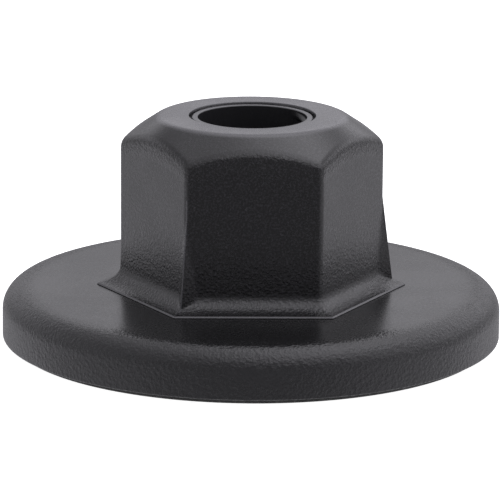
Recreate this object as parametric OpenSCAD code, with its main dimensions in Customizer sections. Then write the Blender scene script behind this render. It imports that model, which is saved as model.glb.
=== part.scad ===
// Furniture leveling foot: a hexagon nut moulded on a threaded bush, free to turn on a round base.
// Millimetres. Origin: centre of the face that stands on the floor, +Z up along the thread.

/* [Base disc] */
// Diameter of the round base
disc_d = 38.1; // [36:0.1:44]
// Height of the disc's top face above the floor
disc_top_z = 4.2; // [4:0.1:4.2]
// Height of the disc's lower edge above the floor
disc_low_z = 0.42; // [0.3:0.01:0.6]
// Radius of the round along the disc's top edge
rim_r = 1.7; // [0.8:0.1:1.7]
// Radius of the raised hub inside the nut's skirt
hub_r = 6.8; // [6.5:0.1:6.9]

/* [Hexagon body] */
// Width across the flats of the hexagon
hex_af = 17.46; // [17.2:0.01:19]
// Height of the top face above the floor
top_z = 17.5; // [17:0.1:20]
// Radius of the flat top land inside the chamfer
land_r = 7.1; // [6.6:0.1:7.4]
// Height where the chamfer meets the hexagon's corners
chamfer_z = 15.52; // [15:0.01:16]
// Reach of the flared foot past the flats
flare_reach = 1.5; // [1:0.1:1.6]
// Radius of the hollow round that shapes the flare
flare_r = 2; // [1.9:0.1:2.4]
// Thickness of the flare at its outer edge
flare_edge = 0.12; // [0.1:0.01:0.3]
// Height of the three wedge ribs above the floor
rib_top_z = 12.8; // [9:0.1:13]
// Reach of the wedge ribs past the corners
rib_reach = 0.75; // [0.4:0.05:1]

/* [Threaded bush] */
// Radius of the thread's bore, at the crests (M8 coarse)
bore_r = 3.32; // [3.2:0.01:3.5]
// Radius of the plain lead-in above the thread
lead_r = 4.15; // [4.05:0.01:4.3]
// Depth of the plain lead-in
lead_depth = 1.96; // [0.5:0.01:3]
// Outer radius of the raised collar round the lead-in
collar_r = 4.6; // [4.4:0.01:4.7]
// Depth of the collar's top below the hexagon's top face
collar_depth = 0.14; // [0.05:0.01:0.3]
// Outer radius of the bush
bush_r = 6.2; // [5.8:0.1:6.2]
// Radius of the bush's lower flange
bush_flange_r = 7; // [6.6:0.1:7]
// Radius of the opening in the hexagon's top face
mouth_r = 4.82; // [4.5:0.01:5.2]
// Depth of the bush's shoulder below the hexagon's top face
mouth_depth = 0.4; // [0.2:0.01:0.6]
// Thickness of the bush's floor, where the pivot screw is threaded in
bush_floor = 2.5; // [2.4:0.1:4]

/* [Pivot] */
// Radius of the pivot screw's shoulder
shoulder_r = 3; // [2.6:0.1:3]
// Running clearance round the shoulder
run_gap = 0.05; // [0.02:0.01:0.1]
// Outer radius of the bearing sleeve
sleeve_r = 4; // [3.8:0.1:4.4]
// Radius of the sleeve's flange
sleeve_flange_r = 6.4; // [6:0.1:6.6]
// Radius of the pivot screw's head
screw_head_r = 5; // [4.5:0.1:5.5]
// Radius of the screw's thread, at its root
screw_thread_r = 2.1; // [1.8:0.1:2.3]
// Width across the flats of the hexagon socket in the head
socket_af = 4; // [3:0.5:4]

/* [Floor pad] */
// Radius of the rubber floor pad
pad_r = 18.38; // [17.5:0.01:18.4]
// Thickness of the floor pad
pad_h = 1.2; // [1.1:0.05:1.2]
// Width of each groove moulded in the pad's underside
groove_w = 0.8; // [0.4:0.1:1.2]
// Depth of those grooves
groove_h = 0.3; // [0.1:0.05:0.5]

/* [Hidden] */
$fn = 96;

disc_r = disc_d / 2;
seat = 0.02;                                    // gap between pieces that sit on one another
recess_r = pad_r + 0.12;                        // recess that holds the pad and its adhesive
recess_z = 1.35;
head_room_r = 6.5;                              // space for the screw's head under the hub
head_room_z = 3.6;
hub_top_z = 5.6;

sleeve_low_z = head_room_z + 0.05;
sleeve_flange_z = hub_top_z + seat;
sleeve_flange_h = 0.5;

bush_low_z = 6.9;
bush_flange_h = 1;
bush_top_z = top_z - mouth_depth;
collar_top_z = top_z - collar_depth;
bore_low_z = bush_low_z + bush_floor;

thrust_low_z = sleeve_flange_z + sleeve_flange_h + 0.05;
thrust_top_z = bush_low_z - seat;
thrust_r = 6.7;

head_low_z = 1.5;
head_h = 1.2;
socket_h = 0.8;
head_top_z = head_low_z + head_h;
keeper_low_z = head_top_z + seat;               // retaining washer, on the screw's head
keeper_h = 0.38;
keeper_r = 5.9;
spring_low_z = keeper_low_z + keeper_h + 0.04;
spring_top_z = head_room_z - 0.02;
spring_h = 0.22;
spring_r = 5.7;
spring_hole_r = 3.3;

hex_r = hex_af / 2 / cos(30);                   // circumradius of the hexagon
flare_low_z = disc_top_z + 0.03;                // the hexagon clears the disc and turns on it
flare_out = hex_af / 2 + flare_reach;            // apothem of the flare's outline
round_off = 0.28;                               // axis of the hollow round, past the flare's outline
round_x = flare_out + round_off;
round_z = flare_low_z + flare_edge + sqrt(flare_r * flare_r - round_off * round_off);
flare_top_z = round_z - 0.3;
cavity_r = 7.4;                                 // hollow under the hexagon, over the hub
adhesive_r = pad_r - 0.4;
groove_radii = [4, 7, 10, 13, 16];

// Flared foot of the hexagon: a wider hexagon hollowed by one round along each side
module flared_foot() {
    difference() {
        translate([0, 0, flare_low_z])
            cylinder(r = flare_out / cos(30), h = flare_top_z - flare_low_z, $fn = 6);
        for (a = [30:60:330])
            rotate(a) translate([round_x, 0, round_z])
                rotate([90, 0, 0]) cylinder(r = flare_r, h = 18, center = true);
    }
}

// One wedge rib: a slim pyramid standing on the flare, with a narrow flat along its outward ridge
module wedge_rib() {
    foot_z = flare_low_z + 0.3;
    side_x = hex_r - 0.78;
    side_y = 1.17;
    ridge = 0.07;
    polyhedron(
        points = [
            [hex_r + rib_reach, ridge, foot_z],
            [hex_r + rib_reach, -ridge, foot_z],
            [side_x, -side_y, foot_z],
            [hex_r - 2.1, 0, foot_z],
            [side_x, side_y, foot_z],
            [hex_r - 0.3, ridge, rib_top_z],
            [hex_r - 0.3, -ridge, rib_top_z]
        ],
        faces = [
            [0, 4, 3, 2, 1], [0, 1, 6, 5], [4, 0, 5], [3, 4, 5], [2, 3, 6], [1, 2, 6], [5, 6, 3]
        ]
    );
}

// Half profile of the base disc: rim round, hub, pad recess, head room and pivot hole
module disc_profile() {
    difference() {
        union() {
            translate([0, disc_low_z]) square([disc_r - rim_r, disc_top_z - disc_low_z]);
            translate([0, disc_low_z]) square([disc_r, disc_top_z - rim_r - disc_low_z]);
            translate([disc_r - rim_r, disc_top_z - rim_r]) circle(r = rim_r);
            translate([0, disc_low_z]) square([hub_r, hub_top_z - disc_low_z]);
        }
        translate([-1, -1]) square([recess_r + 1, recess_z + 1]);
        translate([-1, 0]) square([head_room_r + 1, head_room_z]);
        translate([-1, 0]) square([sleeve_r + seat + 1, hub_top_z + 1]);
    }
}

module base_disc() {
    color([0.07, 0.07, 0.075]) rotate_extrude() disc_profile();
}

// Flanged plain bearing pressed into the hub
module bearing_sleeve() {
    color([0.86, 0.85, 0.8]) difference() {
        union() {
            translate([0, 0, sleeve_low_z])
                cylinder(r = sleeve_r, h = sleeve_flange_z + sleeve_flange_h - sleeve_low_z);
            translate([0, 0, sleeve_flange_z]) cylinder(r = sleeve_flange_r, h = sleeve_flange_h);
        }
        translate([0, 0, sleeve_low_z - 1]) cylinder(r = shoulder_r + run_gap, h = 6);
    }
}

// Conical spring washer that takes up the play under the hub
module disc_spring() {
    color([0.55, 0.56, 0.58]) rotate_extrude() polygon([
        [spring_hole_r, spring_low_z],
        [spring_r, spring_top_z - spring_h],
        [spring_r, spring_top_z],
        [spring_hole_r, spring_low_z + spring_h]
    ]);
}

module floor_pad() {
    color([0.12, 0.12, 0.12]) difference() {
        cylinder(r = pad_r, h = pad_h);
        for (r = groove_radii)
            rotate_extrude() translate([r, -0.5]) square([groove_w, groove_h + 0.5]);
    }
}

module pad_adhesive() {
    color([0.75, 0.72, 0.6])
        translate([0, 0, pad_h]) cylinder(r = adhesive_r, h = recess_z - pad_h);
}

module hex_body() {
    color([0.09, 0.09, 0.095]) difference() {
        union() {
            intersection() {
                translate([0, 0, flare_low_z])
                    cylinder(r = hex_r, h = top_z - flare_low_z, $fn = 6);
                rotate(15) rotate_extrude() polygon([
                    [0, flare_low_z],
                    [hex_r + 2, flare_low_z],
                    [hex_r + 2, chamfer_z - 2 * (top_z - chamfer_z) / (hex_r - land_r)],
                    [land_r, top_z],
                    [0, top_z]
                ]);
            }
            flared_foot();
            for (a = [0:120:240]) rotate(a) wedge_rib();
        }
        translate([0, 0, flare_low_z - 1]) cylinder(r = cavity_r, h = bush_low_z - flare_low_z + 1);
        translate([0, 0, bush_low_z - 0.5])
            cylinder(r = bush_flange_r + seat, h = bush_flange_h + seat + 0.5);
        translate([0, 0, bush_low_z]) cylinder(r = bush_r + seat, h = bush_top_z + seat - bush_low_z);
        translate([0, 0, bush_low_z]) cylinder(r = mouth_r, h = 20);
    }
}

// Flanged bush: raised collar and lead-in, blind thread for the furniture's stud, and a tapped floor
// for the pivot screw
module threaded_bush() {
    color([0.2, 0.2, 0.21]) difference() {
        union() {
            translate([0, 0, bush_low_z]) cylinder(r = bush_flange_r, h = bush_flange_h);
            translate([0, 0, bush_low_z]) cylinder(r = bush_r, h = bush_top_z - bush_low_z);
            translate([0, 0, bush_low_z]) cylinder(r = collar_r, h = collar_top_z - bush_low_z);
        }
        translate([0, 0, bore_low_z]) cylinder(r = bore_r, h = 20);
        translate([0, 0, collar_top_z - lead_depth]) cylinder(r = lead_r, h = 20);
        translate([0, 0, bush_low_z - 1]) cylinder(r = screw_thread_r + seat, h = bush_floor + 2);
    }
}

module thrust_washer() {
    color([0.62, 0.63, 0.65]) difference() {
        translate([0, 0, thrust_low_z]) cylinder(r = thrust_r, h = thrust_top_z - thrust_low_z);
        translate([0, 0, thrust_low_z - 1]) cylinder(r = shoulder_r + 0.15, h = 3);
    }
}

// Shoulder screw: head under the hub, plain shoulder in the sleeve, thread in the bush's floor
module pivot_screw() {
    color([0.62, 0.63, 0.65]) difference() {
        union() {
            translate([0, 0, head_low_z]) cylinder(r = screw_head_r, h = head_h);
            translate([0, 0, head_low_z]) cylinder(r = shoulder_r, h = thrust_top_z - head_low_z);
            translate([0, 0, head_low_z])
                cylinder(r = screw_thread_r, h = bore_low_z - 0.2 - head_low_z);
        }
        translate([0, 0, head_low_z - 1])
            cylinder(r = socket_af / 2 / cos(30), h = socket_h + 1, $fn = 6);
    }
}

module retaining_washer() {
    color([0.62, 0.63, 0.65]) difference() {
        translate([0, 0, keeper_low_z]) cylinder(r = keeper_r, h = keeper_h);
        translate([0, 0, keeper_low_z - 1]) cylinder(r = shoulder_r + 0.12, h = 3);
    }
}

base_disc();
bearing_sleeve();
disc_spring();
floor_pad();
pad_adhesive();
hex_body();
threaded_bush();
thrust_washer();
pivot_screw();
retaining_washer();
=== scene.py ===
import math

import bmesh
import bpy
from mathutils import Matrix, Vector


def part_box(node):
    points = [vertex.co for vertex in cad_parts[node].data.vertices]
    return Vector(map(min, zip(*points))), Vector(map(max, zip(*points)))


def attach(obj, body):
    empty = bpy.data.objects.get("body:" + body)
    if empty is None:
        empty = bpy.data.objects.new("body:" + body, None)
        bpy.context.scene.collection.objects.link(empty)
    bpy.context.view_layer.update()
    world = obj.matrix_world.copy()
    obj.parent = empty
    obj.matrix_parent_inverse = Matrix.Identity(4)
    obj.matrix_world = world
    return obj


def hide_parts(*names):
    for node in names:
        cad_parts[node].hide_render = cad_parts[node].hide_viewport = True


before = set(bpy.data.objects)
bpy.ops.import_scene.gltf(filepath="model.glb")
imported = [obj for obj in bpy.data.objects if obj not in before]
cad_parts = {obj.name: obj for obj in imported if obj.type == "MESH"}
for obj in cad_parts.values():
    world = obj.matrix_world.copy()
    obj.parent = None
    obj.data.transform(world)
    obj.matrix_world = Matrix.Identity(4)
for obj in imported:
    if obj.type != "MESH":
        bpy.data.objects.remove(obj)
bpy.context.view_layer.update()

# ---------------------------------------------------------------------------------------------
# Studio: a long lens a little above the foot, a pale floor that runs out of view, and soft white
# light from overhead, behind and both sides, with the side towards the camera kept dark.
disc_low, disc_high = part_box("base_disc")
disc_r = disc_high.x
camera_azimuth = math.radians(-1.09)
camera_elevation = math.radians(14.04)
camera_roll = math.radians(0.404)
camera_distance = 16.18 * disc_r
aim = Matrix.Rotation(camera_azimuth, 4, "Z") @ Vector((-0.0057 * disc_r, 0, 0.3633 * disc_r))
away = Vector((
    math.sin(camera_azimuth) * math.cos(camera_elevation),
    -math.cos(camera_azimuth) * math.cos(camera_elevation),
    math.sin(camera_elevation),
))
camera_data = bpy.data.cameras.new("camera")
camera_data.sensor_width = 36
camera_data.lens = 290
camera_data.clip_start = 0.01
camera_data.clip_end = 50
camera = bpy.data.objects.new("camera", camera_data)
bpy.context.scene.collection.objects.link(camera)
camera.rotation_mode = "QUATERNION"
camera.location = aim + away * camera_distance
camera.rotation_quaternion = (
    (-away).to_track_quat("-Z", "Y") @ Matrix.Rotation(camera_roll, 3, "Z").to_quaternion()
)
bpy.context.scene.camera = camera
bpy.context.scene.view_settings.view_transform = "Standard"

world = bpy.data.worlds.new("studio")
bpy.context.scene.world = world
world.use_nodes = True
sky = world.node_tree
sky.nodes.clear()
cool_tint = (0.995, 0.98, 1.04)


def ramp(tree, value, stops):
    """Smooth ramp of cool greys over a value: stops are (place, grey)."""
    node = tree.nodes.new("ShaderNodeValToRGB")
    node.color_ramp.interpolation = "EASE"
    while len(node.color_ramp.elements) < len(stops):
        node.color_ramp.elements.new(0.5)
    for element, (place, grey) in zip(node.color_ramp.elements, stops):
        element.position = place
        element.color = (*(grey * part for part in cool_tint), 1)
    tree.links.new(value, node.inputs["Fac"])
    return node.outputs["Color"]


def spread(tree, value, low, high, to_low=0.0, to_high=1.0):
    """Value mapped from low..high to to_low..to_high, smoothly and clamped."""
    node = tree.nodes.new("ShaderNodeMapRange")
    node.interpolation_type = "SMOOTHSTEP"
    for name, number in (
        ("From Min", low), ("From Max", high), ("To Min", to_low), ("To Max", to_high)
    ):
        node.inputs[name].default_value = number
    tree.links.new(value, node.inputs["Value"])
    return node.outputs["Result"]


def feed(tree, value, socket):
    """Sets a shader socket from a value, which is another socket or a plain number or colour."""
    if isinstance(value, bpy.types.NodeSocket):
        tree.links.new(value, socket)
    else:
        socket.default_value = value


def blend(tree, kind, share, a, b):
    """Mix of a and b, sockets or plain values, by a share: kind is "RGBA" or "FLOAT"."""
    node = tree.nodes.new("ShaderNodeMix")
    node.data_type = kind
    for name, value in (("Factor", share), ("A", a), ("B", b)):
        feed(tree, value, node.inputs[name])
    return node.outputs["Result"]


def maths(tree, kind, a, b):
    """One Math node; a and b are sockets or numbers."""
    node = tree.nodes.new("ShaderNodeMath")
    node.operation = kind
    for socket, value in zip(node.inputs, (a, b)):
        feed(tree, value, socket)
    return node.outputs[0]


direction = sky.nodes.new("ShaderNodeTexCoord")
split = sky.nodes.new("ShaderNodeSeparateXYZ")
sky.links.new(direction.outputs["Generated"], split.inputs[0])
height = spread(sky, split.outputs["Z"], -1, 1)
height.node.interpolation_type = "LINEAR"
# each ramp goes from straight down, at 0, over the horizon, at 0.5, to straight up, at 1; the greys
# are a fifth of the light they stand for, so that they fit a colour ramp
light_scale = 5.0
at_sides = ramp(sky, height, [
    (0.0, 0.16), (0.42, 0.205), (0.51, 0.11), (0.6, 0.13), (0.68, 0.31), (0.78, 0.15), (0.95, 0.4),
])
behind = ramp(sky, height, [
    (0.2, 0.11), (0.38, 0.085), (0.56, 0.09), (0.68, 0.28), (0.78, 0.18), (0.95, 0.4),
])
in_front = ramp(sky, height, [
    (0.3, 0.08), (0.42, 0.08), (0.5, 0.055), (0.6, 0.08), (0.72, 0.15), (0.93, 0.42),
])
away_from_camera = spread(sky, split.outputs["Y"], 0.6, 0.95)
toward_camera = spread(sky, split.outputs["Y"], -0.35, -0.95)
around = blend(sky, "RGBA", away_from_camera, at_sides, behind)
around = blend(sky, "RGBA", toward_camera, around, in_front)
# the lights above hang towards the right, most of all the one straight overhead
from_right = spread(sky, split.outputs["X"], -0.3, 0.95, 0.66, 1.28)
crest_right = spread(sky, split.outputs["X"], -0.3, 0.1, 0.85 * light_scale, 1.3 * light_scale)
overhead = spread(sky, split.outputs["Z"], 0.05, 0.45)
crest = spread(sky, split.outputs["Z"], 0.6, 0.85)
strength = maths(
    sky, "MULTIPLY",
    blend(sky, "FLOAT", overhead, 1.0, from_right),
    blend(sky, "FLOAT", crest, light_scale, crest_right),
)
seen = sky.nodes.new("ShaderNodeLightPath")
lit = sky.nodes.new("ShaderNodeBackground")
sky.links.new(strength, lit.inputs["Strength"])
sky.links.new(around, lit.inputs["Color"])
blank = sky.nodes.new("ShaderNodeBackground")
blank.inputs["Color"].default_value = (1, 1, 1, 1)
either = sky.nodes.new("ShaderNodeMixShader")
sky.links.new(seen.outputs["Is Camera Ray"], either.inputs["Fac"])
sky.links.new(lit.outputs[0], either.inputs[1])
sky.links.new(blank.outputs[0], either.inputs[2])
sky_out = sky.nodes.new("ShaderNodeOutputWorld")
sky.links.new(either.outputs[0], sky_out.inputs["Surface"])

floor_mesh = bpy.data.meshes.new("floor")
floor_reach = 3.0
floor_corners = ((-1, -1), (1, -1), (1, 1), (-1, 1))
floor_mesh.from_pydata(
    [(x * floor_reach, y * floor_reach, 0) for x, y in floor_corners], [], [(0, 1, 2, 3)]
)
floor = bpy.data.objects.new("floor", floor_mesh)
# just under the pad, so that the two faces don't share a plane
floor.location.z = -0.00002
bpy.context.scene.collection.objects.link(floor)
floor_paint = bpy.data.materials.new("floor_paint")
floor_paint.use_nodes = True
floor_shader = floor_paint.node_tree.nodes["Principled BSDF"]
floor_shader.inputs["Base Color"].default_value = (0.6, 0.6, 0.6, 1)
floor_shader.inputs["Roughness"].default_value = 0.9
floor_shader.inputs["Specular IOR Level"].default_value = 0.0
floor_shader.inputs["Emission Color"].default_value = (1, 1, 1, 1)
floor_shader.inputs["Emission Strength"].default_value = 0.95
floor_mesh.materials.append(floor_paint)
floor.visible_glossy = False

# ---------------------------------------------------------------------------------------------
# Floor pad: a disc of moulded black rubber set in the underside of the base, held by adhesive.
# Its face has concentric grooves, with a ring of small round nubs standing in each groove.
MM = 0.001
pad_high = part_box("floor_pad")[1]
pad_r = pad_high.x
pad_h = pad_high.z
groove_radii = [4 * MM, 7 * MM, 10 * MM, 13 * MM, 16 * MM]
groove_w = 0.8 * MM
groove_h = 0.3 * MM
groove_draft = 0.1 * MM
groove_round = 0.07 * MM
nub_r = 0.24 * MM
nub_top = 0.27 * MM
nub_spacing = 1.6 * MM


def rounded(points, radii, steps=5):
    """Open line of (radius, height) points with each inner corner rounded by its own radius."""
    line = [Vector(points[0])]
    for before, corner, after, r in zip(points, points[1:], points[2:], radii):
        before, corner, after = Vector(before), Vector(corner), Vector(after)
        a, b = (before - corner).normalized(), (after - corner).normalized()
        half = a.angle(b) / 2
        if r <= 0 or half > math.radians(89.5):
            line.append(corner)
            continue
        reach = r / math.tan(half)
        centre = corner + (a + b).normalized() * (r / math.sin(half))
        start, end = corner + a * reach - centre, corner + b * reach - centre
        sweep = math.atan2(start.x * end.y - start.y * end.x, start.dot(end))
        for i in range(steps + 1):
            turn = Matrix.Rotation(sweep * i / steps, 2)
            line.append(centre + turn @ start)
    line.append(Vector(points[-1]))
    return line


def finished(name, bm, smooth_angle=32):
    """Plain mesh object made from a bmesh, its doubles merged and its faces outward."""
    bmesh.ops.remove_doubles(bm, verts=bm.verts, dist=1e-7)
    bmesh.ops.dissolve_degenerate(bm, edges=bm.edges, dist=1e-8)
    bmesh.ops.recalc_face_normals(bm, faces=bm.faces)
    mesh = bpy.data.meshes.new(name)
    bm.to_mesh(mesh)
    bm.free()
    for face in mesh.polygons:
        face.use_smooth = True
    mesh.set_sharp_from_angle(angle=math.radians(smooth_angle))
    piece = bpy.data.objects.new(name, mesh)
    bpy.context.scene.collection.objects.link(piece)
    return piece


def turned(name, line, columns=200):
    """Closed solid from a closed half-section of (radius, height) points, turned about Z."""
    bm = bmesh.new()
    rings = []
    for k in range(columns):
        a = 2 * math.pi * k / columns
        rings.append([bm.verts.new((p[0] * math.cos(a), p[0] * math.sin(a), p[1])) for p in line])
    count = len(line)
    for k in range(columns):
        here, there = rings[k], rings[(k + 1) % columns]
        for i in range(count):
            j = (i + 1) % count
            if line[i][0] < 1e-9 and line[j][0] < 1e-9:
                continue
            corners = [here[i], there[i], there[j], here[j]]
            if line[i][0] < 1e-9:
                corners = [here[i], there[j], here[j]]
            elif line[j][0] < 1e-9:
                corners = [here[i], there[i], here[j]]
            bm.faces.new(corners)
    return finished(name, bm)


pad_points = [(0, 0)]
pad_rounds = []
for r in groove_radii:
    pad_points += [(r, 0), (r + groove_draft, groove_h)]
    pad_points += [(r + groove_w - groove_draft, groove_h), (r + groove_w, 0)]
    pad_rounds += [groove_round] * 4
pad_points += [(pad_r, 0), (pad_r, pad_h), (0, pad_h)]
pad_rounds += [0.15 * MM, 0.05 * MM]
rubber_disc = turned("rubber_floor_pad", rounded(pad_points, pad_rounds, 3))


def paint(name):
    """New material with its Principled shader: (material, tree, shader)."""
    material = bpy.data.materials.new(name)
    material.use_nodes = True
    tree = material.node_tree
    return material, tree, tree.nodes["Principled BSDF"]


def new_group(name, inputs, outputs):
    """Shader group with float sockets; returns (group, input node, output node)."""
    group = bpy.data.node_groups.new(name, "ShaderNodeTree")
    for label, value in inputs:
        socket = group.interface.new_socket(label, in_out="INPUT", socket_type="NodeSocketFloat")
        socket.default_value = value
    for label, kind in outputs:
        group.interface.new_socket(label, in_out="OUTPUT", socket_type=kind)
    return group, group.nodes.new("NodeGroupInput"), group.nodes.new("NodeGroupOutput")


# moulded skin: the fine grain that a spark-eroded mould leaves, with cloudy patches of sheen
skin, skin_in, skin_out = new_group(
    "moulded_skin",
    [("Grain per metre", 5000.0), ("Patches per metre", 160.0)],
    [(label, "NodeSocketFloat") for label in ("Height", "Patches", "Specks", "Mottle")],
)
place = skin.nodes.new("ShaderNodeTexCoord")


def pattern(kind, per_metre):
    """Texture node in the skin on Object coordinates, with its scale from a socket."""
    node = skin.nodes.new(kind)
    skin.links.new(place.outputs["Object"], node.inputs["Vector"])
    skin.links.new(per_metre, node.inputs["Scale"])
    return node


grain_scale = skin_in.outputs["Grain per metre"]
grain = pattern("ShaderNodeTexNoise", grain_scale)
grain.inputs["Detail"].default_value = 2.0
grain.inputs["Roughness"].default_value = 0.55
pits = pattern("ShaderNodeTexVoronoi", maths(skin, "MULTIPLY", grain_scale, 0.6))
pit_depth = maths(skin, "MULTIPLY", pits.outputs["Distance"], 0.5)
cloud = pattern("ShaderNodeTexNoise", skin_in.outputs["Patches per metre"])
cloud.inputs["Detail"].default_value = 3.0
dots = pattern("ShaderNodeTexNoise", maths(skin, "MULTIPLY", grain_scale, 0.35))
dots.inputs["Detail"].default_value = 1.0
for label, value in (
    ("Height", maths(skin, "ADD", grain.outputs["Fac"], pit_depth)),
    ("Patches", spread(skin, cloud.outputs["Fac"], 0.3, 0.7)),
    ("Specks", spread(skin, dots.outputs["Fac"], 0.68, 0.78)),
    ("Mottle", spread(skin, grain.outputs["Fac"], 0.42, 0.72)),
):
    skin.links.new(value, skin_out.inputs[label])


def zone(tree, kind, start, end, low=0.0, high=1.0):
    """Share that goes from low to high as a measure goes from start to end, in metres.

    The kind is "height", "radius" or (slope, inner radius), for the height plus the slope times the
    radius, which is the same all over a cone of that slope that ends at the inner radius.
    """
    where = tree.nodes.new("ShaderNodeTexCoord")
    parts = tree.nodes.new("ShaderNodeSeparateXYZ")
    tree.links.new(where.outputs["Object"], parts.inputs[0])
    x, y, z = parts.outputs
    if kind == "height":
        return spread(tree, z, start, end, low, high)
    squares = maths(tree, "ADD", maths(tree, "MULTIPLY", x, x), maths(tree, "MULTIPLY", y, y))
    measure = maths(tree, "SQRT", squares, 0)
    if kind != "radius":
        slope, inner_r = kind
        drop = maths(tree, "MULTIPLY", maths(tree, "MAXIMUM", measure, inner_r), slope)
        measure = maths(tree, "ADD", z, drop)
    return spread(tree, measure, start, end, low, high)


def moulded(
    name, dark, light, rough_low, rough_high, grain_per_m, bump_distance,
    grain_zones=(), painted_light=None, painted_light_zone=(),
):
    """Moulded plastic or rubber, its colour and sheen mottled by the grain.

    The sheen drifts with the cloudy patches too. The grain's depth is the sum of grain_zones, and
    over its zone the colour turns to a paler tone: painted light for the faces that catch more of
    it.
    """
    material, tree, shader = paint(name)
    surface = tree.nodes.new("ShaderNodeGroup")
    surface.node_tree = skin
    surface.inputs["Grain per metre"].default_value = grain_per_m
    patches, specks, mottle = (surface.outputs[k] for k in ("Patches", "Specks", "Mottle"))
    drift = maths(
        tree, "ADD", maths(tree, "MULTIPLY", mottle, 0.6), maths(tree, "MULTIPLY", specks, 0.4)
    )
    colour = blend(tree, "RGBA", drift, (*dark, 1), (*light, 1))
    # painted light: over the zone the colour is mixed towards a paler tone
    if painted_light:
        colour = blend(tree, "RGBA", zone(tree, *painted_light_zone), colour, (*painted_light, 1))
    tree.links.new(colour, shader.inputs["Base Color"])
    gloss = maths(
        tree, "ADD", maths(tree, "MULTIPLY", patches, 0.5), maths(tree, "MULTIPLY", mottle, 0.5)
    )
    tree.links.new(spread(tree, gloss, 0, 1, rough_high, rough_low), shader.inputs["Roughness"])
    grain_out = surface.outputs["Height"]
    if grain_zones:
        depth = 0.0
        for one in grain_zones:
            depth = maths(tree, "ADD", zone(tree, *one), depth)
        grain_out = maths(tree, "MULTIPLY", grain_out, depth)
    bump = tree.nodes.new("ShaderNodeBump")
    bump.inputs["Strength"].default_value = 1.0
    bump.inputs["Distance"].default_value = bump_distance
    tree.links.new(grain_out, bump.inputs["Height"])
    tree.links.new(bump.outputs["Normal"], shader.inputs["Normal"])
    return material


pad_rubber = moulded(
    "pad_rubber", (0.012, 0.012, 0.012), (0.03, 0.03, 0.03), 0.6, 0.8, 3500, 0.03 * MM
)
rubber_disc.data.materials.append(pad_rubber)

nub_tree = bpy.data.node_groups.new("pad_nubs", "GeometryNodeTree")
nub_tree.interface.new_socket("Geometry", in_out="OUTPUT", socket_type="NodeSocketGeometry")
for label, kind, value in (
    ("Ring radius", "NodeSocketFloat", 0.01),
    ("Nubs in ring", "NodeSocketInt", 24),
    ("Nub radius", "NodeSocketFloat", 0.0003),
    ("Nub top", "NodeSocketFloat", 0.0003),
    ("Rubber", "NodeSocketMaterial", None),
):
    socket = nub_tree.interface.new_socket(label, in_out="INPUT", socket_type=kind)
    if value is not None:
        socket.default_value = value
nub_in = nub_tree.nodes.new("NodeGroupInput")
nub_out = nub_tree.nodes.new("NodeGroupOutput")
ring = nub_tree.nodes.new("GeometryNodeMeshCircle")
nub_tree.links.new(nub_in.outputs["Nubs in ring"], ring.inputs["Vertices"])
nub_tree.links.new(nub_in.outputs["Ring radius"], ring.inputs["Radius"])
dome = nub_tree.nodes.new("GeometryNodeMeshUVSphere")
dome.inputs["Segments"].default_value = 12
dome.inputs["Rings"].default_value = 8
nub_tree.links.new(nub_in.outputs["Nub radius"], dome.inputs["Radius"])
stand = nub_tree.nodes.new("GeometryNodeInstanceOnPoints")
nub_tree.links.new(ring.outputs["Mesh"], stand.inputs["Points"])
nub_tree.links.new(dome.outputs["Mesh"], stand.inputs["Instance"])
lift = nub_tree.nodes.new("GeometryNodeTransform")
offset = nub_tree.nodes.new("ShaderNodeCombineXYZ")
nub_tree.links.new(nub_in.outputs["Nub top"], offset.inputs["Z"])
nub_tree.links.new(offset.outputs[0], lift.inputs["Translation"])
nub_tree.links.new(stand.outputs["Instances"], lift.inputs["Geometry"])
real = nub_tree.nodes.new("GeometryNodeRealizeInstances")
nub_tree.links.new(lift.outputs["Geometry"], real.inputs["Geometry"])
coat = nub_tree.nodes.new("GeometryNodeSetMaterial")
nub_tree.links.new(real.outputs["Geometry"], coat.inputs["Geometry"])
nub_tree.links.new(nub_in.outputs["Rubber"], coat.inputs["Material"])
nub_tree.links.new(coat.outputs["Geometry"], nub_out.inputs["Geometry"])


def grown(name, tree, settings):
    """Plain mesh object made by a geometry-node tree, with its inputs set by their names."""
    host = bpy.data.objects.new(name + "_host", bpy.data.meshes.new(name + "_host"))
    bpy.context.scene.collection.objects.link(host)
    modifier = host.modifiers.new("grow", "NODES")
    modifier.node_group = tree
    sockets = {s.name: s.identifier for s in tree.interface.items_tree if s.in_out == "INPUT"}
    for label, value in settings.items():
        modifier[sockets[label]] = value
    ready = host.evaluated_get(bpy.context.evaluated_depsgraph_get())
    mesh = bpy.data.meshes.new_from_object(ready)
    mesh.name = name
    piece = bpy.data.objects.new(name, mesh)
    bpy.context.scene.collection.objects.link(piece)
    bpy.data.objects.remove(host)
    return piece


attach(rubber_disc, "base")
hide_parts("floor_pad")
for number, r in enumerate(groove_radii):
    nubs = grown("pad_nubs_%d" % (number + 1), nub_tree, {
        "Ring radius": r + groove_w / 2,
        "Nubs in ring": int(2 * math.pi * r / nub_spacing),
        "Nub radius": nub_r,
        "Nub top": nub_top,
        "Rubber": pad_rubber,
    })
    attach(nubs, "base")

film = moulded(
    "adhesive_film", (0.55, 0.52, 0.4), (0.66, 0.63, 0.5), 0.5, 0.65, 2500, 0.01 * MM
)
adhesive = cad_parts["pad_adhesive"]
adhesive.data.materials.clear()
adhesive.data.materials.append(film)

# ---------------------------------------------------------------------------------------------
# Base disc: black nylon, injection moulded, with a large round along its top edge, a plain side
# and a low hub under the hexagon. The skin carries a fine grain; the top face is the smoothest.
disc_top = 4.2 * MM
disc_bottom = disc_low.z
rim_r = 1.7 * MM
hub_r = 6.8 * MM
hub_top = disc_high.z
recess_r = pad_r + 0.12 * MM
recess_z = 1.35 * MM
head_room_r = 6.5 * MM
head_room_z = 3.6 * MM
pivot_hole_r = 4.02 * MM
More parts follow.
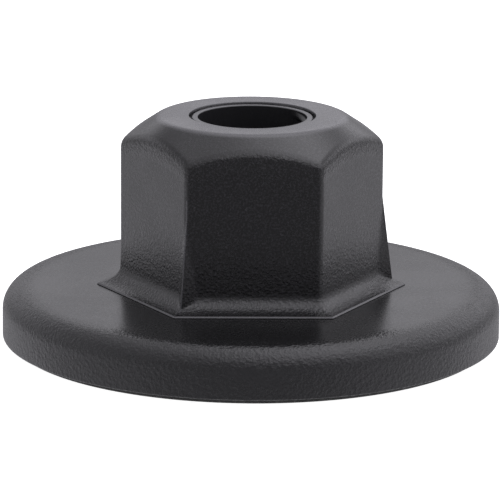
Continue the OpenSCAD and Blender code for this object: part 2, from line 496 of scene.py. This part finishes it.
# the half-section goes out by the recess, up the side, in over the hub and down the pivot's hole;
# its last point, halfway down the screw head's room, lets the corner before it be rounded
disc_points = [
    (head_room_r, recess_z), (recess_r, recess_z), (recess_r, disc_bottom),
    (disc_r, disc_bottom), (disc_r, disc_top),
    (hub_r, disc_top), (hub_r, hub_top), (pivot_hole_r, hub_top),
    (pivot_hole_r, head_room_z), (head_room_r, head_room_z),
    (head_room_r, (recess_z + head_room_z) / 2),
]
disc_rounds = [0, 0.1 * MM, 0.12 * MM, rim_r, 0.15 * MM, 0.2 * MM, 0.15 * MM, 0.1 * MM, 0.1 * MM]
nylon_disc = turned("nylon_base_disc", rounded(disc_points, disc_rounds, 12), 256)
disc_nylon = moulded(
    "disc_nylon", (0.0026, 0.0026, 0.0028), (0.0115, 0.0113, 0.0122), 0.22, 0.3, 5200, 0.06 * MM,
    grain_zones=[("radius", 16.0 * MM, 17.8 * MM, 0.05)],
    # the rim's round and the side are mixed towards a paler tone: painted light on the rim
    painted_light=(0.014, 0.0138, 0.0152), painted_light_zone=("radius", 17.2 * MM, 18.6 * MM, 0, 0.5),
)
disc_nylon.node_tree.nodes["Principled BSDF"].inputs["Specular IOR Level"].default_value = 0.415
nylon_disc.data.materials.append(disc_nylon)
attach(nylon_disc, "base")
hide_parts("base_disc")

# ---------------------------------------------------------------------------------------------
# Pivot: a zinc-plated shoulder screw with its retaining washer and thrust washer, an acetal
# bearing sleeve pressed in the hub, and a conical spring washer that takes up the play.


def plated(name, dull, bright):
    """Bare or plated steel, its colour and sheen drifting with the cloudy patches."""
    material, tree, shader = paint(name)
    surface = tree.nodes.new("ShaderNodeGroup")
    surface.node_tree = skin
    surface.inputs["Grain per metre"].default_value = 9000
    surface.inputs["Patches per metre"].default_value = 900
    patches = surface.outputs["Patches"]
    colour = blend(tree, "RGBA", patches, (*dull, 1), (*bright, 1))
    tree.links.new(colour, shader.inputs["Base Color"])
    tree.links.new(spread(tree, patches, 0, 1, 0.28, 0.42), shader.inputs["Roughness"])
    shader.inputs["Metallic"].default_value = 1.0
    bump = tree.nodes.new("ShaderNodeBump")
    bump.inputs["Distance"].default_value = 0.003 * MM
    tree.links.new(surface.outputs["Height"], bump.inputs["Height"])
    tree.links.new(bump.outputs["Normal"], shader.inputs["Normal"])
    return material


zinc = plated("zinc_plate", (0.5, 0.51, 0.54), (0.66, 0.67, 0.68))
spring_steel = plated("spring_steel", (0.3, 0.31, 0.34), (0.42, 0.42, 0.43))
acetal = moulded(
    "acetal", (0.74, 0.73, 0.68), (0.82, 0.81, 0.77), 0.35, 0.45, 3000, 0.005 * MM
)
for node_name, material in (
    ("pivot_screw", zinc), ("retaining_washer", zinc), ("thrust_washer", zinc),
    ("disc_spring", spring_steel), ("bearing_sleeve", acetal),
):
    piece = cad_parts[node_name]
    piece.data.materials.clear()
    piece.data.materials.append(material)

# ---------------------------------------------------------------------------------------------
# Threaded bush: turned steel, plated black, with an M8 thread under a plain lead-in, a raised
# collar round its mouth, a flange at its foot and straight knurls that the nylon is moulded round.
bush_low, bush_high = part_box("threaded_bush")
thread_pitch = 1.25 * MM
thread_crest_r = 3.32 * MM
thread_root_r = 4.0 * MM
# shares of half a pitch that the root's flat and the flank take up
thread_root_share = 0.2
thread_flank_share = 0.68
thread_run_out = 0.5 * MM
lead_r = 4.15 * MM
lead_low_z = 15.4 * MM
collar_r = 4.6 * MM
collar_top_z = bush_high.z
bore_floor_z = bush_low.z + 2.5 * MM
screw_hole_r = 2.12 * MM
bush_r = 6.2 * MM
bush_flange_r = bush_high.x
bush_flange_z = bush_low.z + 1 * MM
bush_top_z = 17.1 * MM
bush_step = 0.15 * MM
bush_step_low_z = bush_top_z - 0.5 * MM
bush_shoulder_r = 5.2 * MM
knurl_depth = 0.12 * MM
knurl_top_z = bush_top_z - 0.8 * MM
knurl_low_z = bush_flange_z + 0.3 * MM
bush_chamfer = 0.1 * MM
# the ridge that starts the thread
start_angle = math.radians(42)
start_span = math.radians(200)
start_high_z = collar_top_z - 0.42 * MM
start_fall = collar_top_z - 0.6 * MM - lead_low_z
start_half_h = 0.34 * MM
start_depth = 0.42 * MM


def thread_radius(angle, z):
    """Radius of the bore's wall at an angle and height.

    It is a right-hand 60 degree thread under a plain lead-in, with the ridge that starts the thread
    winding down from the collar.
    """
    phase = ((lead_low_z - z) / thread_pitch + angle / (2 * math.pi)) % 1.0
    across = abs(phase - 0.5) * 2
    depth = min(max((across - thread_root_share) / thread_flank_share, 0), 1)
    into = min(1, max(0, (lead_low_z - z) / thread_run_out))
    threaded = thread_root_r - (thread_root_r - thread_crest_r) * depth
    wall = lead_r + (threaded - lead_r) * into
    turned_by = (start_angle - angle) % (2 * math.pi)
    if turned_by < start_span:
        ridge_z = start_high_z - start_fall * turned_by / start_span
        off = abs(z - ridge_z) / start_half_h
        fade_in = min(1, turned_by / math.radians(50))
        fade_out = min(1, (start_span - turned_by) / math.radians(30))
        wall = min(wall, lead_r - start_depth * fade_in * fade_out * max(0, 1 - off))
    return wall


bush_bm = bmesh.new()
bush_columns = 180
thread_levels = 170
thread_h = collar_top_z - 0.08 * MM - bore_floor_z
bush_rings = []
for k in range(bush_columns):
    a = 2 * math.pi * k / bush_columns
    line = [(screw_hole_r, bore_floor_z)]
    for i in range(thread_levels + 1):
        z = bore_floor_z + thread_h * i / thread_levels
        line.append((thread_radius(a, z), z))
    line += [tuple(p) for p in rounded(
        [(lead_r, collar_top_z - 0.07 * MM), (lead_r, collar_top_z), (collar_r, collar_top_z),
         (collar_r, bush_top_z), (bush_shoulder_r, bush_top_z)],
        [0.06 * MM, 0.1 * MM, 0.05 * MM], 4)]
    knurled_r = bush_r - knurl_depth * (k % 3 == 0)
    line += [(bush_r - bush_step, bush_top_z), (bush_r - bush_step, bush_step_low_z)]
    line += [(knurled_r, knurl_top_z), (knurled_r, knurl_low_z)]
    line += [(bush_r - bush_step, bush_flange_z), (bush_flange_r - bush_chamfer, bush_flange_z)]
    line += [(bush_flange_r, bush_flange_z - bush_chamfer)]
    line += [(bush_flange_r, bush_low.z + bush_chamfer)]
    line += [(bush_flange_r - bush_chamfer, bush_low.z), (screw_hole_r, bush_low.z)]
    bush_rings.append([bush_bm.verts.new((r * math.cos(a), r * math.sin(a), z)) for r, z in line])
for k in range(bush_columns):
    here, there = bush_rings[k], bush_rings[(k + 1) % bush_columns]
    for i in range(len(here)):
        j = (i + 1) % len(here)
        bush_bm.faces.new((here[i], there[i], there[j], here[j]))
bush = finished("threaded_steel_bush", bush_bm, 28)
bush_black = moulded(
    "bush_black", (0.009, 0.009, 0.01), (0.016, 0.016, 0.018), 0.26, 0.36, 7000, 0.003 * MM,
    # the collar's top face turns pale: a painted highlight for the light it catches from above
    painted_light=(0.065, 0.065, 0.068), painted_light_zone=("height", 17.25 * MM, 17.35 * MM, 0, 0.9),
)
bush.data.materials.append(bush_black)
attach(bush, "adjuster")
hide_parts("threaded_bush")

# ---------------------------------------------------------------------------------------------
# Hexagon body: black nylon moulded over the bush. Six flats for a wrench, a conical chamfer, a
# hollow flared foot that ends in a sharp edge, and a slim wedge rib on every second corner.
top_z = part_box("hex_body")[1].z
hex_apothem = 8.73 * MM
hex_corner_r = 0.6 * MM
hex_tip = hex_apothem / math.cos(math.pi / 6)
land_r = 7.1 * MM
chamfer_z = 15.52 * MM
chamfer_slope = (top_z - chamfer_z) / (hex_tip - land_r)
wall_top_z = 13.8 * MM
edge_round = 1.1 * MM
land_round = 1.4 * MM
mouth_r = 4.82 * MM
mouth_round = 0.07 * MM
lip_z = top_z - 0.38 * MM
seat_r = 6.22 * MM
flange_seat_r = 7.02 * MM
flange_seat_z = 7.92 * MM
hollow_r = 7.4 * MM
hollow_z = 6.9 * MM
flare_low_z = disc_top + 0.02 * MM
flare_edge_z = flare_low_z + 0.12 * MM
flare_reach = 1.5 * MM
flare_out = hex_apothem + flare_reach
flare_round_r = 2 * MM
flare_round_out = 0.28 * MM
flare_round_z = flare_edge_z + math.sqrt(flare_round_r ** 2 - flare_round_out ** 2)
flare_blend = 0.12 * MM
flare_tip_round = 0.04 * MM
# the lip is a thin sloping band along the flare's edge
lip_in = 0.09 * MM
lip_foot = 0.03 * MM
rib_top_z = 12.8 * MM
rib_foot_z = flare_low_z + 0.3 * MM
rib_reach = 0.75 * MM
rib_set_in = 0.3 * MM
rib_ridge_half = 0.05 * MM
rib_side_in = 0.48 * MM
rib_spread = 1.1 * MM


def hexagon(angle, apothem, corner):
    """Radius at an angle of a hexagon with its corners, at 0, 60, 120 degrees, rounded."""
    off = abs((angle + math.pi / 6) % (math.pi / 3) - math.pi / 6)
    centre = (apothem - corner) / math.cos(math.pi / 6)
    touch = math.atan2(corner * 0.5, centre + corner * math.cos(math.pi / 6))
    if off < touch:
        return centre * math.cos(off) + math.sqrt(corner ** 2 - (centre * math.sin(off)) ** 2)
    return apothem / math.cos(math.pi / 6 - off)


def from_rib(angle):
    """Angle to the nearest of the three ribs, at 0, 120 and 240 degrees."""
    return abs((angle + math.pi / 3) % (2 * math.pi / 3) - math.pi / 3)


def wedge(angle, z):
    """Radius at an angle of the wedge rib's two faces at a height, or 0 away from a rib."""
    off = from_rib(angle)
    t = (rib_top_z - z) / (rib_top_z - rib_foot_z)
    if t <= 0 or off > math.radians(20):
        return 0.0
    top_x = hex_tip - rib_set_in
    ridge = top_x + (rib_reach + rib_set_in) * t
    side_x = top_x - rib_side_in * t
    side_y = rib_ridge_half + rib_spread * t
    if off < math.atan2(rib_ridge_half, ridge):
        return ridge / math.cos(off)
    cross = side_x * rib_ridge_half - side_y * ridge
    across = math.cos(off) * (rib_ridge_half - side_y) - math.sin(off) * (ridge - side_x)
    return cross / across


def flare_height(inward):
    """Height of the flare's hollow round at a distance inward from the flare's edge."""
    return flare_round_z - math.sqrt(flare_round_r ** 2 - (flare_round_out + inward) ** 2)


def wall_radius(angle, z):
    """Radius of the outer wall: hexagon or flare, and the ribs where they stand out."""
    apothem, corner = hex_apothem, hex_corner_r
    if z < flare_round_z:
        sag = math.sqrt(flare_round_r ** 2 - (flare_round_z - z) ** 2)
        hollow = flare_out + flare_round_out - sag
        apothem = (hex_apothem + hollow + math.hypot(hex_apothem - hollow, flare_blend)) / 2
        corner *= max(0.06, 1 - (apothem - hex_apothem) / flare_reach)
    return max(hexagon(angle, apothem, corner), wedge(angle, z))


# columns crowd at the corners, where the ribs and the rounds are, and thin out over the flats
half_side = [
    0, 0.15, 0.3, 0.5, 0.7, 0.9, 1.1, 1.3, 1.5, 1.9, 2.4, 3, 3.6, 4.3, 5, 5.8, 6.6, 7.4, 8.4, 10,
    12.5, 16, 20, 25,
]
side_angles = half_side + [30] + [60 - a for a in reversed(half_side[1:])]
hex_angles = [math.radians(60 * k + a) for k in range(6) for a in side_angles]
# levels follow the flare's hollow round, then open out up the flats to the ribs' tops
flare_steps = 12
wall_levels = [
    flare_height(lip_in + (flare_reach - lip_in) * i / flare_steps) for i in range(flare_steps + 1)
]
wall_levels += [z * MM for z in (
    5.5, 5.62, 5.76, 5.92, 6.15, 6.5, 7, 7.5, 8.3, 9.1, 9.9, 10.6, 11.2, 11.7, 12.1, 12.5, 12.8,
    13.1,
)]
hex_bm = bmesh.new()
hex_rings = []
for a in hex_angles:
    rim = hexagon(a, flare_out, flare_tip_round)
    wall = hexagon(a, hex_apothem, hex_corner_r)
    edge_z = top_z - (wall - land_r) * chamfer_slope
    line = [(hollow_r, flare_low_z), (rim, flare_low_z), (rim, flare_low_z + lip_foot)]
    line += [(wall_radius(a, z), z) for z in wall_levels]
    upper = rounded(
        [(wall, wall_top_z), (wall, edge_z), (land_r, top_z), (mouth_r, top_z), (mouth_r, lip_z)],
        [edge_round, land_round, mouth_round], 8)
    line += [tuple(p) for p in upper]
    line += [(seat_r, lip_z), (seat_r, flange_seat_z), (flange_seat_r, flange_seat_z)]
    line += [(flange_seat_r, hollow_z), (hollow_r, hollow_z)]
    hex_rings.append([hex_bm.verts.new((r * math.cos(a), r * math.sin(a), z)) for r, z in line])
for k in range(len(hex_rings)):
    here, there = hex_rings[k], hex_rings[(k + 1) % len(hex_rings)]
    for i in range(len(here)):
        j = (i + 1) % len(here)
        face = hex_bm.faces.new((here[i], there[i], there[j], here[j]))
        middle = face.calc_center_median()
        at_rib = from_rib(math.atan2(middle.y, middle.x)) < math.radians(0.3)
        on_wall = rib_foot_z < middle.z < rib_top_z and middle.xy.length > 9.5 * MM
        on_lip = i == 2
        # the faces of the flare's lip and the ribs' ridges take the second material, the painted
        # highlight
        if on_lip or (at_rib and on_wall):
            face.material_index = 1
hexagon_body = finished("nylon_hexagon_body", hex_bm, 24)
# the grain is deep low on the walls, and in a band under the chamfer's edge
chamfer_cone = (chamfer_slope, land_r)
hex_nylon = moulded(
    "hex_nylon", (0.0006, 0.0005, 0.0008), (0.0165, 0.0158, 0.019), 0.14, 0.31, 6200, 0.034 * MM,
    grain_zones=[
        ("height", 12.5 * MM, 6.5 * MM, 0.25),
        (chamfer_cone, 20.6 * MM, 21.4 * MM, 0, 1.4),
        (chamfer_cone, 21.9 * MM, 22.2 * MM, 0, -1.4),
    ],
    # the top land turns pale: a painted highlight for the light it catches from above
    painted_light=(0.062, 0.061, 0.066), painted_light_zone=("height", 17.25 * MM, 17.48 * MM, 0, 0.95),
)
# the flare's lip and the ribs' ridges are painted pale: a painted highlight along these edges
painted_highlight = moulded(
    "painted_highlight_edge", (0.03, 0.029, 0.033), (0.05, 0.049, 0.054), 0.24, 0.3, 5400, 0.01 * MM
)
hexagon_body.data.materials.append(hex_nylon)
hexagon_body.data.materials.append(painted_highlight)
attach(hexagon_body, "adjuster")
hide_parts("hex_body")
